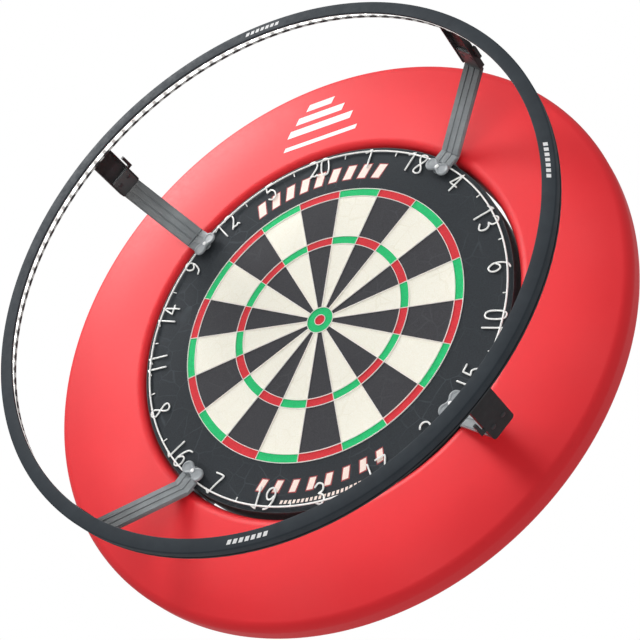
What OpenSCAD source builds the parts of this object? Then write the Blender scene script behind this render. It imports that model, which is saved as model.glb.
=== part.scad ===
// Steel-tip bristle dartboard with a foam surround and a ring light on four
// clamp-on arms, hung on a wall bracket.
//
// Frame: X to the right, Z up, Y into the wall. The wall is the plane y = 0, the board's
// axis is the Y axis, and darts arrive from -Y. Parts of the board and the light are drawn
// in the face frame: x right, y up and z out of the playing face, whose plane is z = 0.

/* [Board] */
// Outer radius of the board, over its steel band
board_r = 225.5; // [224:0.5:227]
// Thickness of the board
board_t = 38; // [34:1:42]
// Thickness of the chipboard at its back
backing_t = 6; // [4:1:10]
// Thickness of the steel band round the rim
band_t = 0.8; // [0.5:0.1:1.2]
// Gap between the wall and the board's back
wall_gap = 8; // [7.5:0.5:12]

/* [Playing field] */
// Outer radius of the double ring
double_r = 170; // [168:1:172]
// Outer radius of the treble ring
treble_r = 107; // [105:1:109]
// Width of the double and the treble ring
band_w = 10; // [8:0.5:11]
// Radius of the outer bull
bull_r = 15.9; // [14:0.1:18]
// Radius of the inner bull
bullseye_r = 6.35; // [5:0.05:8]
// Width of a dividing wire at its foot
blade_w = 0.9; // [0.6:0.1:1.4]
// Height of a dividing wire above the face
blade_h = 1.1; // [0.8:0.1:1.6]

/* [Number ring] */
// Radius of the hoop's centre line
hoop_r = 219.5; // [218:0.5:221]
// Radius of the hoop's wire
hoop_wire_r = 1; // [0.9:0.1:1.1]
// Height of the hoop's centre line above the face
hoop_z = 2.4; // [2.4:0.1:2.8]
// Height of a numeral, between the middles of its strokes
digit_h = 24; // [22:0.5:24]
// Width of a numeral
digit_w = 13; // [12:0.5:13]

/* [Surround] */
// Outer radius of the surround
surround_r = 348; // [335:1:352]
// Height of its front above the playing face
surround_front = 0; // [-2:0.5:0.5]
// Depth of its back behind the playing face
surround_back = 35; // [30:1:37]

/* [Ring light] */
// Outer radius of the light
ring_r = 323.3; // [320:0.1:325]
// Inner radius of its front
ring_hole_r = 308.4; // [306:0.1:310]
// Height of its front above the playing face
ring_z = 138.3; // [130:0.1:150]
// Depth of the light, front to back
ring_t = 13.1; // [12.5:0.1:15]
// Number of light-emitting diodes on the strip
led_count = 120; // [90:10:120]

/* [Arms] */
// Width of an arm's bracket
bracket_w = 29; // [28:0.5:32]
// Width of an arm's strap
strap_w = 26; // [24:0.5:26]
// Height of the elbow above the playing face
elbow_z = 63.5; // [55:0.5:75]
// Width of the web that passes between board and surround
web_w = 20; // [14:1:20]

/* [Clamps] */
// Distance of a clamp screw from the board's axis
clamp_r = 212.5; // [211.5:0.5:213]
// Length of a knob over both lobes
knob_l = 32; // [30:0.5:33]
// Width of a knob over one lobe
knob_w = 15; // [14:0.5:16]
// Thickness of a knob
knob_t = 3; // [3:0.5:4]

/* [Wall bracket] */
// Distance between the wall bracket's screw holes, left to right
hole_dx = 56; // [52:1:60]
// Distance between the wall bracket's screw holes, up and down
hole_dz = 40; // [30:1:46]
// Radius of the wall bracket's screw holes
hole_r = 2.5; // [2:0.25:3]

/* [Hidden] */
$fn = 96;
fine = 240;

face_y = -(wall_gap + board_t);
sector = 360 / 20;
arm_angles = [135, 45, 225, 315];
left_up = 0;
right_up = 1;
left_down = 2;
right_down = 3;

// Sisal face and its wires
sisal_r = board_r - band_t;
blade_top = 0.35;

// Numerals, clockwise from the top; the lower nine stand with their tops to the centre
numbers = [20, 1, 18, 4, 13, 6, 10, 15, 2, 17, 3, 19, 7, 16, 8, 11, 14, 9, 12, 5];
first_turned = 6;
last_turned = 14;
digit_stroke = 2;
digit_gap = 2;
digit_t = 1.2;
// The numerals are welded under the hoop and reach a little past it
digit_z = hoop_z - hoop_wire_r - digit_t;
digit_over = 2.5;
digit_mid_r = hoop_r + digit_over - digit_h / 2;
foot_r = 0.9;

// Back of the board
screw_neck_r = 2.5;
slot_r = 2.6;
screw_head_r = 6;
screw_head_t = 3;
screw_depth = 24;
pad_r = 14;
pad_ring_r = 150;

// Wall bracket, a folded sheet
sheet_t = 2;
cup_w = 40;
cup_depth = wall_gap - 1;
flange_w = 18;
bracket_h = 64;
lead_in_r = 9;
lead_in_rise = 3;

// Surround
surround_bore = 229;
rim_round = [12, 9];
rim_drop = 4;
crown_r = 275;
back_round = 9;
bore_round = 12;

// Light: front shell, back cover and strip
shell_t = 2;
ring_back = ring_z - ring_t;
groove_w = 2.2;
groove_t = 1;
lip_w = 1.6;
lip_t = 1.5;
cover_hole_r = 311.9;
strip_wall_r = 313.7;
strip_wall_t = 1.5;
strip_t = 0.4;
strip_w = 8.4;
strip_z = ring_back + shell_t + 0.1;
led_size = 5;
led_t = 1;
boss_count = 8;
boss_r = 2.6;
boss_ring_r = 318.2;
cover_screw_r = 1.25;
cover_screw_l = 9;
jack_angle = 100;
jack_z = ring_back + ring_t / 2;
jack_r = 4;
plug_r = 2.9;
pin_r = 1;

// Arms: a channel behind the light, and a ribbed strap down to the rim
bracket_in = 312;
bracket_out = 319;
bracket_skin = 2.4;
cheek_t = (bracket_w - strap_w - 0.2) / 2;
tongue_w = 20;
tongue_top = ring_z - 4.5;
strap_in = 313.4;
strap_out = bracket_out - bracket_skin - 0.05;
strap_top = elbow_z + 24.5;
strap_foot_r = 234.5;
// Underside of a strap's foot, just over the hoop
seat_z = hoop_z + hoop_wire_r + 0.3;
strap_foot_z = seat_z + 2.5;
strap_t = 3.2;
strap_dr = strap_in - strap_foot_r;
strap_dz = elbow_z - strap_foot_z;
strap_len = sqrt(strap_dr * strap_dr + strap_dz * strap_dz);
strap_tilt = atan2(strap_dz, strap_dr);
rib_w = 6.6;
rib_pitch = 8.6;
rib_h = 0.9;
rivet_z = elbow_z + 16;
rivet_y = 7;

// Rim web and back hook of a strap
web_in = board_r + 0.5;
web_out = web_in + 2.4;
hook_z = -board_t - 2;
hook_t = 2.4;
hook_tip_r = 208;
hook_pad_l = 14;
// Where the strap narrows to the web, and the knee under its foot
web_head_z = 1.4;
knee = [web_out + 3.1, web_head_z + 0.8];

// Cable hook on a bracket's clockwise side
hook_low = elbow_z + 20;
hook_high = elbow_z + 37;
hook_reach = 6;
hook_bar = 3.6;

// Clamps
jaw_t = 1.5;
jaw_w = 13;
jaw_neck_r = 219;
jaw_out_r = strap_foot_r - 0.1;
jaw_rib_h = 0.6;
jaw_top_z = seat_z + jaw_t + jaw_rib_h;
jaw_rivet_r = 230.8;
jaw_rivet_shank = 1.2;
jaw_rivet_head = [2, 0.7];
clamp_screw_r = 2;
tap_r = 2.05;
knob_z = jaw_top_z + 0.3;
foot_pad_r = 3.4;
foot_pad_z = 0.1;
foot_pad_t = 1.4;
foot_socket = 0.8;
cap_r = 2.4;
cap_t = 0.4;
cap_sink = 0.4;

// ---- Frames and helpers ----

// Face frame to the part's frame
module on_face() { translate([0, face_y, 0]) rotate([90, 0, 0]) children(); }

// Local frame of one arm: x outwards from the axis, z out of the face
module at_arm(arm) { on_face() rotate([0, 0, arm_angles[arm]]) children(); }

// A profile in (radius, height), drawn w wide across the arm
module across(w) { rotate([90, 0, 0]) linear_extrude(w, center = true) children(); }

// A tube about the face's axis
module tube(outer, inner, low, high) {
    difference() {
        translate([0, 0, low]) cylinder(h = high - low, r = outer, $fn = fine);
        translate([0, 0, low - 1]) cylinder(h = high - low + 2, r = inner, $fn = fine);
    }
}

// ---- Wall bracket and board back ----

module wall_bracket() color("silver") {
    difference() {
        union() {
            for (side = [-1, 1]) {
                translate([side * (cup_w + flange_w - sheet_t) / 2, -sheet_t / 2, 0])
                    cube([flange_w + sheet_t, sheet_t, bracket_h], center = true);
                translate([side * (cup_w - sheet_t) / 2, -cup_depth / 2, 0])
                    cube([sheet_t, cup_depth, bracket_h], center = true);
            }
            translate([0, -cup_depth + sheet_t / 2, 0])
                cube([cup_w, sheet_t, bracket_h], center = true);
        }
        // U-shaped seat for the hanging screw's neck, open at the top
        rotate([90, 0, 0]) cylinder(h = wall_gap + 2, r = slot_r);
        translate([-slot_r, -wall_gap - 1, 0]) cube([2 * slot_r, wall_gap + 2, bracket_h]);
        // Lead-in at the top of the slot
        translate([0, -cup_depth - 1, bracket_h / 2 + lead_in_rise])
            rotate([-90, 0, 0]) cylinder(h = wall_gap, r = lead_in_r);
        for (x = [-hole_dx / 2, hole_dx / 2], z = [-hole_dz / 2, hole_dz / 2])
            translate([x, 1, z]) rotate([90, 0, 0]) cylinder(h = sheet_t + 2, r = hole_r);
    }
}

module hanging_screw() color("silver") {
    head_y = -cup_depth + sheet_t + 0.3;
    difference() {
        union() {
            translate([0, head_y, 0]) rotate([-90, 0, 0]) cylinder(h = screw_head_t, r = screw_head_r);
            translate([0, head_y + 0.5, 0]) rotate([90, 0, 0])
                cylinder(h = screw_depth + wall_gap - cup_depth, r = screw_neck_r);
        }
        // Cross recess
        for (turn = [0, 90])
            rotate([0, turn, 0]) translate([-3, head_y + screw_head_t - 1.2, -0.6])
                cube([6, 2, 1.2]);
    }
}

module rear_pads() color("dimgray") on_face()
    for (a = [90, 210, 330])
        rotate([0, 0, a]) translate([pad_ring_r, 0, -board_t - wall_gap])
            cylinder(h = wall_gap, r = pad_r);

module backing_board() color("saddlebrown") on_face()
    tube(sisal_r, screw_neck_r, -board_t, -board_t + backing_t);

module sisal_disc() color("dimgray") on_face()
    difference() {
        translate([0, 0, -board_t + backing_t])
            cylinder(h = board_t - backing_t, r = sisal_r, $fn = fine);
        translate([0, 0, -board_t])
            cylinder(h = screw_depth, r = screw_neck_r);
    }

module steel_band() color("darkslategray") on_face() tube(board_r, sisal_r, -board_t, 0);

// ---- Spider ----

// Section of a dividing wire: wide at its foot, sharp at its top
module blade_section()
    polygon([[-blade_w / 2, 0], [blade_w / 2, 0], [blade_top / 2, blade_h], [-blade_top / 2, blade_h]]);

module ring_blade(r) color("mistyrose") on_face()
    rotate_extrude($fn = fine) translate([r, 0])
        blade_section();

// A straight blade between two rings, clear of both
module straight_blade(from, to)
    translate([from + blade_w / 2 + 0.1, 0, 0])
        rotate([90, 0, 90]) linear_extrude(to - from - blade_w - 0.2)
            blade_section();

module radial_wires() color("mistyrose") on_face()
    for (i = [0 : 19])
        rotate([0, 0, (i + 0.5) * sector]) {
            straight_blade(bull_r, treble_r - band_w);
            straight_blade(treble_r - band_w, treble_r);
            straight_blade(treble_r, double_r - band_w);
            straight_blade(double_r - band_w, double_r);
        }

// ---- Number ring ----

module number_hoop() color("white") on_face()
    translate([0, 0, hoop_z]) rotate_extrude($fn = fine)
        translate([hoop_r, 0]) circle(r = hoop_wire_r, $fn = 24);

// Spring feet of the hoop, on the sector lines where no clamp sits
module hoop_feet() color("white") on_face()
    for (i = [0 : 19])
        if (i % 5 != 2)
            rotate([0, 0, (i + 0.5) * sector]) translate([hoop_r, 0, 0])
                cylinder(h = hoop_z - hoop_wire_r, r = foot_r, $fn = 24);

// Strokes of a numeral, in units of its own width and height
module stroke(x1, y1, x2, y2) {
    dx = (x2 - x1) * digit_w;
    dy = (y2 - y1) * digit_h;
    translate([x1 * digit_w, y1 * digit_h]) {
        rotate(atan2(dy, dx)) translate([0, -digit_stroke / 2])
            square([sqrt(dx * dx + dy * dy), digit_stroke]);
        circle(d = digit_stroke, $fn = 20);
        translate([dx, dy]) circle(d = digit_stroke, $fn = 20);
    }
}

// An arc of radius r from angle a to angle b, counter-clockwise
module bow(x, y, r, a, b) {
    far = 3 * r;
    steps = 4;
    translate([x * digit_w, y * digit_h]) {
        intersection() {
            difference() {
                circle(r = r + digit_stroke / 2, $fn = 48);
                circle(r = r - digit_stroke / 2, $fn = 48);
            }
            polygon(concat([[0, 0]], [for (i = [0 : steps], t = a + (b - a) * i / steps)
                far * [cos(t), sin(t)]]));
        }
        for (t = [a, b]) translate(r * [cos(t), sin(t)]) circle(d = digit_stroke, $fn = 20);
    }
}

module hoop_of_digit(x, y, r)
    translate([x * digit_w, y * digit_h])
        difference() {
            circle(r = r + digit_stroke / 2, $fn = 48);
            circle(r = r - digit_stroke / 2, $fn = 48);
        }

// One digit; end is 1 where its top meets the hoop and -1 where its foot does
module digit(n, end) {
    r = digit_w / 2 - digit_stroke / 2;
    fx = r / digit_w;
    fy = r / digit_h;
    if (n == 0) {
        bow(0, 0.5 - fy, r, 0, 180);
        bow(0, fy - 0.5, r, 180, 360);
        stroke(fx, 0.5 - fy, fx, fy - 0.5);
        stroke(-fx, 0.5 - fy, -fx, fy - 0.5);
    }
    if (n == 1) {
        stroke(0, -0.5, 0, 0.5);
        stroke(-0.03, end * 0.47, -0.5, end * 0.34);
    }
    if (n == 2) {
        bow(0, 0.5 - fy, r, -30, 180);
        stroke(fx * cos(30), 0.5 - 1.5 * fy, -fx, -0.46);
        stroke(-fx, -0.46, fx, -0.46);
    }
    if (n == 3) {
        bow(0, 0.5 - fy, r, -90, 160);
        bow(0, 0.5 - 3 * fy, r, -160, 90);
    }
    if (n == 4) {
        stroke(fx * 0.3, 0.5, -fx, -0.15);
        stroke(-fx, -0.15, fx, -0.15);
        stroke(fx * 0.4, 0.1, fx * 0.4, -0.5);
    }
    if (n == 5) {
        stroke(fx, 0.5, -fx, 0.5);
        stroke(-fx, 0.5, -fx, 3 * fy - 0.5);
        bow(0, 2 * fy - 0.5, r, -150, 120);
    }
    if (n == 6) {
        hoop_of_digit(0, fy - 0.46, r);
        stroke(-fx, fy - 0.46, fx * 0.5, 0.5);
    }
    if (n == 7) {
        stroke(-fx, 0.46, fx, 0.46);
        stroke(fx, 0.46, -fx * 0.4, -0.5);
        stroke(-fx * 0.4, -0.5, -0.55, -0.38);
    }
    if (n == 8) {
        hoop_of_digit(0, 0.5 - fy, r);
        hoop_of_digit(0, 0.5 - 3 * fy, r);
    }
    if (n == 9) {
        hoop_of_digit(0, 0.46 - fy, r);
        stroke(fx, 0.46 - fy, -fx * 0.5, -0.5);
    }
}

module numeral(n, end) {
    if (n < 10) digit(n, end);
    else {
        step = (digit_w + digit_gap) / 2;
        translate([-step, 0]) digit(floor(n / 10), end);
        translate([step, 0]) digit(n % 10, end);
    }
}

module number_wires() color("white") on_face()
    for (i = [0 : 19]) {
        turned = i >= first_turned && i <= last_turned;
        rotate([0, 0, -i * sector]) translate([0, digit_mid_r, digit_z])
            rotate([0, 0, turned ? 180 : 0])
                linear_extrude(digit_t) numeral(numbers[i], turned ? -1 : 1);
    }

// ---- Surround ----

function ellipse(cx, cy, rx, ry, a, b, n) =
    [for (i = [0 : n]) [cx + rx * cos(a + (b - a) * i / n), cy + ry * sin(a + (b - a) * i / n)]];

// Foam ring: crowned front, rounded rim, and a front edge that rolls down into the bore
module surround() color("crimson") on_face() {
    rim_x = surround_r - rim_round[0];
    rim_z = surround_front - rim_drop - rim_round[1];
    crown_in = surround_bore + bore_round;
    rotate_extrude($fn = fine)
        polygon(concat(
            ellipse(surround_r - back_round, -surround_back + back_round, back_round, back_round, -90, 0, 6),
            ellipse(rim_x, rim_z, rim_round[0], rim_round[1], 0, 75, 8),
            [for (t = [3, 2, 1])
                [crown_r + (rim_x - crown_r) * t / 4, surround_front - rim_drop * t * t / 16]],
            [[crown_r, surround_front]],
            ellipse(crown_in, surround_front - bore_round, bore_round, bore_round, 90, 180, 7),
            [[surround_bore, -surround_back]]));
}

// ---- Ring light ----

module ring_housing() color("darkslategray") on_face() {
    wall_low = ring_back + shell_t;
    difference() {
        union() {
            tube(ring_r, ring_hole_r, ring_z - shell_t, ring_z);
            tube(ring_r, ring_r - shell_t, wall_low + groove_w, ring_z - shell_t);
            // Parting groove above the rear cover
            tube(ring_r - groove_t, ring_r - shell_t, wall_low, wall_low + groove_w);
            tube(ring_hole_r + lip_w, ring_hole_r, ring_z - shell_t - lip_t, ring_z - shell_t);
            for (i = [0 : boss_count - 1])
                rotate([0, 0, (i + 0.5) * 360 / boss_count]) translate([boss_ring_r, 0, wall_low])
                    cylinder(h = ring_z - shell_t - wall_low, r = boss_r, $fn = 32);
        }
        for (i = [0 : boss_count - 1])
            rotate([0, 0, (i + 0.5) * 360 / boss_count]) translate([boss_ring_r, 0, ring_back])
                cylinder(h = cover_screw_l, r = cover_screw_r, $fn = 24);
        rotate([0, 0, jack_angle]) translate([ring_r - 5, 0, jack_z])
            rotate([0, 90, 0]) cylinder(h = 10, r = jack_r + 0.05);
    }
}

module ring_rear_cover() color("darkslategray") on_face()
    difference() {
        union() {
            tube(ring_r, cover_hole_r, ring_back, ring_back + shell_t);
            tube(strip_wall_r + strip_wall_t, strip_wall_r, ring_back + shell_t, ring_z - shell_t);
        }
        // Slots for the tongues of the four arms
        for (a = arm_angles)
            rotate([0, 0, a])
                translate([bracket_out - bracket_skin - 0.1, -tongue_w / 2 - 0.1, ring_back - 1])
                cube([bracket_skin + 0.2, tongue_w + 0.2, shell_t + 2]);
        for (i = [0 : boss_count - 1])
            rotate([0, 0, (i + 0.5) * 360 / boss_count]) translate([boss_ring_r, 0, ring_back - 1])
                cylinder(h = shell_t + 2, r = cover_screw_r + 0.05, $fn = 24);
        // Hole for the feed wires
        rotate([0, 0, jack_angle]) translate([strip_wall_r - 1, 0, jack_z])
            rotate([0, 90, 0]) cylinder(h = strip_wall_t + 2, r = 2.4, $fn = 32);
    }

module cover_screws() color("silver") on_face()
    for (i = [0 : boss_count - 1])
        rotate([0, 0, (i + 0.5) * 360 / boss_count]) translate([boss_ring_r, 0, 0]) {
            translate([0, 0, ring_back - 1.2]) cylinder(h = 1.2, r = 2.4, $fn = 32);
            translate([0, 0, ring_back - 0.5]) cylinder(h = cover_screw_l, r = cover_screw_r, $fn = 24);
        }

module led_strip() color("darkslategray") on_face()
    tube(strip_wall_r, strip_wall_r - strip_t, strip_z, strip_z + strip_w);

module led_chips() color("white") on_face() {
    chip_in = strip_wall_r - strip_t - led_t - 0.01;
    chip_low = strip_z + (strip_w - led_size) / 2;
    for (i = [0 : led_count - 1])
        rotate([0, 0, i * 360 / led_count]) translate([chip_in, -led_size / 2, chip_low])
            cube([led_t, led_size, led_size]);
}

module power_jack() color("black") on_face()
    rotate([0, 0, jack_angle]) translate([0, 0, jack_z]) rotate([0, 90, 0])
        difference() {
            union() {
                translate([0, 0, ring_r - 7.5]) cylinder(h = 8.5, r = jack_r);
                translate([0, 0, ring_r + 0.05]) cylinder(h = 1.2, r = jack_r + 1);
            }
            translate([0, 0, ring_r - 6.5]) cylinder(h = 10, r = plug_r);
        }

module jack_pin() color("silver") on_face()
    rotate([0, 0, jack_angle]) translate([0, 0, jack_z]) rotate([0, 90, 0])
        translate([0, 0, ring_r - 6.5]) cylinder(h = 6, r = pin_r, $fn = 24);

module feed_wires() color("firebrick") on_face()
    rotate([0, 0, jack_angle])
        for (z = [-1.2, 1.2])
            translate([strip_wall_r, 0, jack_z + z]) rotate([0, 90, 0])
                cylinder(h = ring_r - 7.5 - strip_wall_r, r = 0.7, $fn = 20);

// ---- Arms ----

// Channel-section bracket: its tongue sits in the light, and its side carries a cable hook
module bracket(arm) color([0.16, 0.17, 0.18]) at_arm(arm) {
    low = elbow_z;
    floor_in = bracket_out - bracket_skin;
    difference() {
        union() {
            translate([floor_in, -bracket_w / 2, low])
                cube([bracket_skin, bracket_w, ring_back - low]);
            for (side = [-1, 1])
                translate([bracket_in, side * (bracket_w - cheek_t) / 2 - cheek_t / 2, low])
                    cube([bracket_out - bracket_in, cheek_t, ring_back - low]);
            translate([floor_in, -tongue_w / 2, ring_back - 1])
                cube([bracket_skin, tongue_w, tongue_top - ring_back + 1]);
            // Cable hook, open towards the light
            translate([floor_in - 1, -bracket_w / 2 - hook_reach, hook_low])
                cube([bracket_skin + 1, hook_reach + 1, hook_bar]);
            translate([floor_in - 1, -bracket_w / 2 - hook_reach, hook_low])
                cube([bracket_skin + 1, hook_bar, hook_high - hook_low]);
        }
        // Rounded lower corners
        for (side = [-1, 1])
            translate([bracket_in - 1, side * bracket_w / 2, low])
                mirror([0, side > 0 ? 1 : 0, 0])
                    rotate([90, 0, 90]) linear_extrude(bracket_out - bracket_in + 2)
                        difference() {
                            translate([-1, -1]) square(5);
                            translate([4, 4]) circle(r = 4);
                        }
        for (side = [-1, 1])
            translate([bracket_in - 1, side * rivet_y, rivet_z]) rotate([0, 90, 0])
                cylinder(h = 10, r = 1.5, $fn = 24);
    }
}

// Ribbed strap with its elbow, rim web and back hook
module strap(arm) color([0.45, 0.47, 0.48]) at_arm(arm) {
    tx = strap_t * sin(strap_tilt);
    tz = strap_t * cos(strap_tilt);
    slope = strap_dz / strap_dr;
    elbow_low = elbow_z - tz + (strap_out - strap_in - tx) * slope;
    difference() {
        union() {
            across(strap_w)
                polygon([[strap_in, strap_top], [strap_in, elbow_z], [strap_foot_r, strap_foot_z],
                         [strap_foot_r, seat_z], [web_in, seat_z], [web_in, web_head_z],
                         [web_out, web_head_z], knee, [strap_foot_r + tx, strap_foot_z - tz],
                         [strap_out, elbow_low], [strap_out, strap_top]]);
            across(web_w)
                polygon([[web_in, knee[1]], [web_in, hook_z], [hook_tip_r, hook_z],
                         [hook_tip_r, hook_z - hook_t], [web_out, hook_z - hook_t], [web_out, knee[1]]]);
            for (row = [-1 : 1])
                translate([strap_foot_r, row * rib_pitch - rib_w / 2, strap_foot_z])
                    rotate([0, -strap_tilt, 0]) translate([0, 0, -0.5])
                        cube([strap_len - 1, rib_w, rib_h + 0.5]);
        }
        for (side = [-1, 1])
            translate([strap_in - 2, side * rivet_y, rivet_z]) rotate([0, 90, 0])
                cylinder(h = 8, r = 1.5, $fn = 24);
        translate([jaw_rivet_r, 0, 0]) cylinder(h = seat_z + 1, r = jaw_rivet_shank, $fn = 24);
    }
}

module arm_rivets() color("gray")
    for (arm = [0 : 3], side = [-1, 1])
        at_arm(arm) translate([0, side * rivet_y, rivet_z]) rotate([0, 90, 0]) {
            translate([0, 0, strap_in - 0.8]) cylinder(h = 0.8, r = 2.8, $fn = 32);
            translate([0, 0, strap_in - 0.8]) cylinder(h = bracket_out - strap_in + 1.6, r = 1.5, $fn = 24);
            translate([0, 0, bracket_out]) cylinder(h = 0.8, r = 2.8, $fn = 32);
        }

// Jaw plate: carries the strap's ribs on, and reaches over the hoop to hold the clamp screw
module jaw(arm) color([0.45, 0.47, 0.48]) at_arm(arm)
    difference() {
        union() {
            translate([jaw_neck_r, -strap_w / 2, seat_z]) cube([jaw_out_r - jaw_neck_r, strap_w, jaw_t]);
            translate([clamp_r, -jaw_w / 2, seat_z]) cube([jaw_out_r - clamp_r, jaw_w, jaw_t]);
            translate([clamp_r, 0, seat_z]) cylinder(h = jaw_t, r = jaw_w / 2);
            for (row = [-1 : 1])
                translate([jaw_neck_r + 0.5, row * rib_pitch - rib_w / 2, seat_z + jaw_t - 0.5])
                    cube([jaw_out_r - jaw_neck_r - 0.5, rib_w, jaw_rib_h + 0.5]);
        }
        translate([clamp_r, 0, seat_z - 1]) cylinder(h = jaw_t + 2, r = tap_r);
        translate([jaw_rivet_r, 0, seat_z - 1]) cylinder(h = jaw_t + 2, r = jaw_rivet_shank, $fn = 24);
        translate([jaw_rivet_r, 0, jaw_top_z - jaw_rivet_head[1]])
            cylinder(h = 2, r = jaw_rivet_head[0], $fn = 32);
    }

// Rivets with their heads sunk in the middle rib
module jaw_rivets() color("gray")
    for (arm = [0 : 3])
        at_arm(arm) translate([jaw_rivet_r, 0, 0]) {
            translate([0, 0, knee[1]]) cylinder(h = jaw_top_z - 0.1 - knee[1], r = jaw_rivet_shank, $fn = 24);
            translate([0, 0, jaw_top_z - jaw_rivet_head[1]])
                cylinder(h = jaw_rivet_head[1], r = jaw_rivet_head[0], $fn = 32);
        }

module hook_pads() color("dimgray")
    for (arm = [0 : 3])
        at_arm(arm) translate([hook_tip_r, -web_w / 2 + 1, hook_z])
            cube([hook_pad_l, web_w - 2, -hook_z - board_t]);

// ---- Clamps ----

// Two-lobed knob with a counterbore for its cap
module knob(arm) color([0.52, 0.54, 0.57]) at_arm(arm) translate([clamp_r, 0, knob_z]) {
    lobe_y = (knob_l - knob_w) / 2;
    difference() {
        union() {
            for (side = [-1, 1]) translate([0, side * lobe_y, 0]) cylinder(h = knob_t, r = knob_w / 2);
            cylinder(h = knob_t, r = knob_w / 2 - 2);
        }
        // Dished top of each lobe
        for (side = [-1, 1]) translate([0, side * (lobe_y + 0.8), knob_t - 0.6])
            cylinder(h = 2, r = knob_w / 2 - 2.4);
        translate([0, 0, -1]) cylinder(h = knob_t + 2, r = clamp_screw_r);
        translate([0, 0, knob_t - cap_sink]) cylinder(h = 2, r = cap_r);
    }
}

module clamp_screw(arm) color("silver") at_arm(arm) {
    low = foot_pad_z + foot_pad_t - foot_socket + 0.05;
    high = knob_z + knob_t - cap_sink;
    translate([clamp_r, 0, low]) cylinder(h = high - low, r = clamp_screw_r);
}

module knob_cap(arm) color("white") at_arm(arm)
    translate([clamp_r, 0, knob_z + knob_t - cap_sink]) cylinder(h = cap_t + cap_sink, r = cap_r);

// Foot that stays still on the face while the screw turns in it
module clamp_foot(arm) color("black") at_arm(arm) translate([clamp_r, 0, foot_pad_z])
    difference() {
        cylinder(h = foot_pad_t, r = foot_pad_r);
        translate([0, 0, foot_pad_t - foot_socket]) cylinder(h = foot_socket + 1, r = tap_r);
    }

// ---- The part ----

wall_bracket();
hanging_screw();
rear_pads();
backing_board();
sisal_disc();
steel_band();
radial_wires();
ring_blade(double_r);  // double_outer_wire
ring_blade(double_r - band_w);  // double_inner_wire
ring_blade(treble_r);  // treble_outer_wire
ring_blade(treble_r - band_w);  // treble_inner_wire
ring_blade(bull_r);  // bull_wire
ring_blade(bullseye_r);  // bullseye_wire
number_hoop();
number_wires();
hoop_feet();
surround();
ring_housing();
ring_rear_cover();
led_strip();
led_chips();
power_jack();
jack_pin();
feed_wires();
cover_screws();
arm_rivets();
jaw_rivets();
hook_pads();
bracket(left_up);  // bracket_upper_left
bracket(right_up);  // bracket_upper_right
bracket(left_down);  // bracket_lower_left
bracket(right_down);  // bracket_lower_right
strap(left_up);  // strap_upper_left
strap(right_up);  // strap_upper_right
strap(left_down);  // strap_lower_left
strap(right_down);  // strap_lower_right
jaw(left_up);  // jaw_upper_left
jaw(right_up);  // jaw_upper_right
jaw(left_down);  // jaw_lower_left
jaw(right_down);  // jaw_lower_right
knob(left_up);  // knob_upper_left
knob(right_up);  // knob_upper_right
knob(left_down);  // knob_lower_left
knob(right_down);  // knob_lower_right
clamp_screw(left_up);  // screw_upper_left
clamp_screw(right_up);  // screw_upper_right
clamp_screw(left_down);  // screw_lower_left
clamp_screw(right_down);  // screw_lower_right
knob_cap(left_up);  // cap_upper_left
knob_cap(right_up);  // cap_upper_right
knob_cap(left_down);  // cap_lower_left
knob_cap(right_down);  // cap_lower_right
clamp_foot(left_up);  // foot_upper_left
clamp_foot(right_up);  // foot_upper_right
clamp_foot(left_down);  // foot_lower_left
clamp_foot(right_down);  // foot_lower_right
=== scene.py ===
"""The looks of a bristle dartboard with a foam surround and a clamp-on ring light.

Everything is in metres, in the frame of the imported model: X to the right, Z up, Y into the wall.
Parts of the board are drawn in the face frame (x right, y up, z out of the playing face), and
parts of an arm in the same frame turned about the board's axis until x points along the arm.
"""

import math

import bmesh
import bpy
from mathutils import Matrix, Vector


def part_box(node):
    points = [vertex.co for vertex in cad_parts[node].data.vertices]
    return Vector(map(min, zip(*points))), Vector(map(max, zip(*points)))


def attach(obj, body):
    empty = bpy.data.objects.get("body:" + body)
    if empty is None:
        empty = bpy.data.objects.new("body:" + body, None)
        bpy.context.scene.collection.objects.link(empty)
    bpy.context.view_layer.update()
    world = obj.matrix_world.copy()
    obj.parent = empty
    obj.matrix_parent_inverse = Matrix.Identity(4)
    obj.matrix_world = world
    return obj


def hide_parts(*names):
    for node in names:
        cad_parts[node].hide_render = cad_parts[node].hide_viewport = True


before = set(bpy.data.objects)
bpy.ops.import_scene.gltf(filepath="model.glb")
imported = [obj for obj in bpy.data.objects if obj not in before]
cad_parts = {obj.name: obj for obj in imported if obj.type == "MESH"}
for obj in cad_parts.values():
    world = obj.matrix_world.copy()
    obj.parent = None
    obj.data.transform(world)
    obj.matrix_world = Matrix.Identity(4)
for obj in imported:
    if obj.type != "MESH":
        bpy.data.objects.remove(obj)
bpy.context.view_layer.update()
MM = 0.001

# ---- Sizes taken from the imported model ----

FACE_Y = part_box("sisal_disc")[0].y
SISAL_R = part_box("sisal_disc")[1].x
SISAL_BACK = FACE_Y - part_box("sisal_disc")[1].y
WIRE_HALF = 0.45 * MM
RING_RADII = [
    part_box(name)[1].x - WIRE_HALF
    for name in ("bullseye_wire", "bull_wire", "treble_inner_wire", "treble_outer_wire",
                 "double_inner_wire", "double_outer_wire")
]
HOOP_WIRE_R = (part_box("number_hoop")[1].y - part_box("number_hoop")[0].y) / 2
HOOP_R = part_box("number_hoop")[1].x - HOOP_WIRE_R
HOOP_Z = FACE_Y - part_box("number_hoop")[0].y - HOOP_WIRE_R
SURROUND_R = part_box("surround")[1].x
SURROUND_FRONT = FACE_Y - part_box("surround")[0].y
SURROUND_BACK = FACE_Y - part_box("surround")[1].y
LIGHT_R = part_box("ring_housing")[1].x
LIGHT_FRONT = FACE_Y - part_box("ring_housing")[0].y
LIGHT_LOW = FACE_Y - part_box("ring_housing")[1].y
LED_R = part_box("led_chips")[1].x
LED_Z = FACE_Y - (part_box("led_chips")[0].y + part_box("led_chips")[1].y) / 2
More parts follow.
